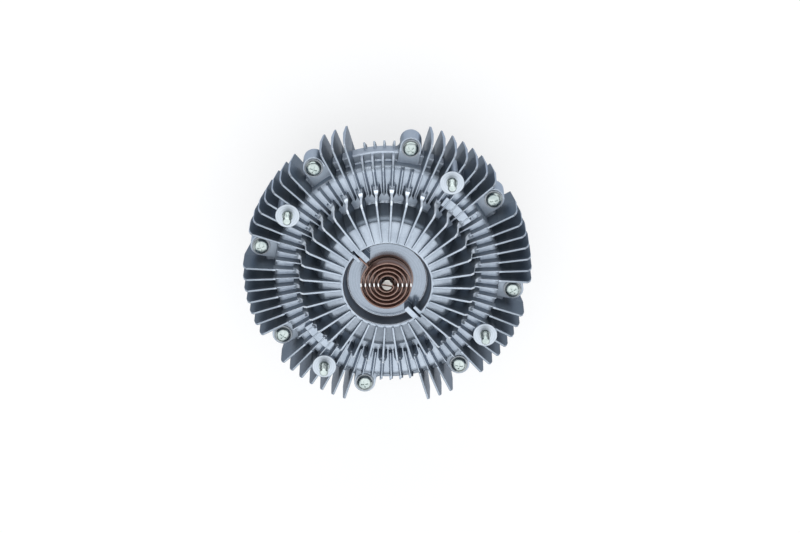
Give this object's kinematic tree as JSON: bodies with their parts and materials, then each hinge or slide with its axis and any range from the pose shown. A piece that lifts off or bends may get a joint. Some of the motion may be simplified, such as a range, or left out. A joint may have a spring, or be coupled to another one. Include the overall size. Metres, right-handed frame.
{
  "type": "viscous fan clutch",
  "caption": "Viscous fan clutch: finned cast housing that turns on a flanged drive shaft, with a spiral bimetal coil valve at the front and studs for the fan.",
  "frame": {"origin": "centre of the drive flange's rear face, on the axis", "axes": "+Z along the axis, from the drive flange towards the coil; +X to the right and +Y up as the picture shows the front"},
  "size_m": [0.2, 0.1918, 0.1042],
  "materials": {
    "cast_aluminium": "die-cast, shot-blasted, machined at the pads and the coil pocket",
    "steel": "machined steel",
    "zinc_plated_steel": "zinc plated, slightly yellow-green",
    "rubber": "black rubber",
    "bimetal": "rolled copper-brown strip",
    "cage_brass": "pressed brass"
  },
  "bodies": {
    "drive": {"drive_shaft": "steel", "rotor_disc": "cast_aluminium", "bearing_inner_ring": "steel"},
    "cage": {"bearing_balls": "steel", "bearing_cage": "cage_brass"},
    "housing": {"rear_case": "cast_aluminium", "front_cover": "cast_aluminium", "bearing_outer_ring": "steel", "bearing_front_seal": "rubber", "bearing_rear_seal": "rubber", "bearing_circlip": "steel", "cover_seal_ring": "rubber", "separator_plate": "steel", "separator_rivets": "steel", "bimetal_coil": "bimetal", "cover_screws": "zinc_plated_steel", "screw_washers": "zinc_plated_steel", "fan_studs": "zinc_plated_steel"},
    "valve": {"valve_shaft": "zinc_plated_steel", "valve_plate": "steel", "valve_shaft_seal": "rubber", "valve_clip": "steel"}
  },
  "joints": [
    {"name": "housing_spin", "type": "hinge", "parent": "drive", "child": "housing", "pos_m": [0, 0, 0.0355], "axis": [0, 0, 1], "continuous": true},
    {"name": "cage_spin", "type": "hinge", "parent": "drive", "child": "cage", "pos_m": [0, 0, 0.0355], "axis": [0, 0, 1], "continuous": true},
    {"name": "valve_turn", "type": "hinge", "parent": "housing", "child": "valve", "pos_m": [0, 0, 0.092], "axis": [0, 0, 1], "range_deg": [0, 40], "stiffness_Nm_per_rad": 0.05, "deforming": ["bimetal_coil"]}
  ],
  "couplings": [
    {"joint": "cage_spin", "follows": "housing_spin", "ratio": 0.6031}
  ]
}
